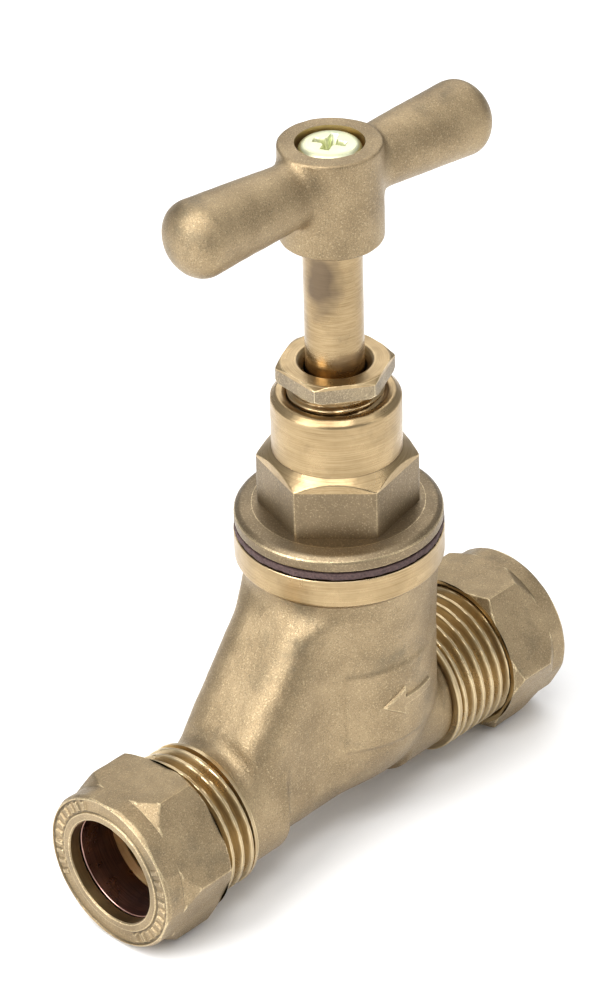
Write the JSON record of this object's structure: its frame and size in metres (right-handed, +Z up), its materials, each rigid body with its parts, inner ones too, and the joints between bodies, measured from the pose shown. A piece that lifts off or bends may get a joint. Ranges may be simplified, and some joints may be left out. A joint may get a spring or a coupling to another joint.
{
  "type": "stop valve",
  "caption": "Brass 15 mm compression stop valve: inline body with two compression ends, bonnet, gland nut, threaded spindle, crutch head and loose jumper over an inner seat.",
  "frame": {"origin": "where the pipe run's axis crosses the spindle's axis", "axes": "+X along the pipe run towards the inlet, +Z up the spindle, the pad with the flow arrow faces -Y"},
  "size_m": [0.0791, 0.0284, 0.1026],
  "materials": {
    "cast_brass": "as-cast, fine sparkling grain, dull",
    "turned_brass": "turned, satin with fine tool marks",
    "copper": "dull dark copper",
    "fibre": "matt dark vulcanised fibre",
    "packing": "matt white packing",
    "rubber": "matt black",
    "passivated_steel": "pale yellow-green zinc passivate"
  },
  "bodies": {
    "valve": {"body": "cast_brass", "bonnet": "turned_brass", "body_washer": "fibre", "packing_ring_lower": "packing", "packing_ring_upper": "packing"},
    "jumper_group": {"jumper": "turned_brass", "jumper_washer": "rubber", "jumper_nut": "turned_brass"},
    "spindle_group": {"spindle": "turned_brass", "crutch_head": "cast_brass", "handle_screw": "passivated_steel"},
    "outlet_ring": {"outlet_olive": "copper"},
    "outlet_nut_group": {"outlet_nut": "cast_brass"},
    "inlet_ring": {"inlet_olive": "copper"},
    "inlet_nut_group": {"inlet_nut": "cast_brass"},
    "gland_follower": {"gland_washer": "turned_brass"},
    "gland_nut_group": {"gland_nut": "turned_brass"}
  },
  "joints": [
    {"name": "jumper_rise", "type": "slide", "parent": "valve", "child": "jumper_group", "axis": [0, 0, 1], "range_m": [-0.007, 0.0005]},
    {"name": "spindle_turn", "type": "hinge", "parent": "jumper_group", "child": "spindle_group", "pos_m": [0, 0, 0.04], "axis": [0, 0, 1], "range_deg": [-1260, 90]},
    {"name": "outlet_olive_slide", "type": "slide", "parent": "valve", "child": "outlet_ring", "axis": [-1, 0, 0], "range_m": [-0.0003, 0.00363]},
    {"name": "outlet_nut_turn", "type": "hinge", "parent": "outlet_ring", "child": "outlet_nut_group", "pos_m": [-0.04, 0, 0], "axis": [-1, 0, 0], "range_deg": [-60, 720]},
    {"name": "inlet_olive_slide", "type": "slide", "parent": "valve", "child": "inlet_ring", "axis": [1, 0, 0], "range_m": [-0.0003, 0.00363]},
    {"name": "inlet_nut_turn", "type": "hinge", "parent": "inlet_ring", "child": "inlet_nut_group", "pos_m": [0.029, 0, 0], "axis": [1, 0, 0], "range_deg": [-60, 720]},
    {"name": "gland_washer_slide", "type": "slide", "parent": "valve", "child": "gland_follower", "axis": [0, 0, 1], "range_m": [-0.00025, 0.0015]},
    {"name": "gland_nut_turn", "type": "hinge", "parent": "gland_follower", "child": "gland_nut_group", "pos_m": [0, 0, 0.055], "axis": [0, 0, 1], "range_deg": [-60, 360]}
  ],
  "couplings": [
    {"joint": "spindle_turn", "follows": "jumper_rise", "rad_per_m": 3141.6},
    {"joint": "outlet_nut_turn", "follows": "outlet_olive_slide", "rad_per_m": 3463.7},
    {"joint": "inlet_nut_turn", "follows": "inlet_olive_slide", "rad_per_m": 3463.7},
    {"joint": "gland_nut_turn", "follows": "gland_washer_slide", "rad_per_m": 4188.8}
  ]
}
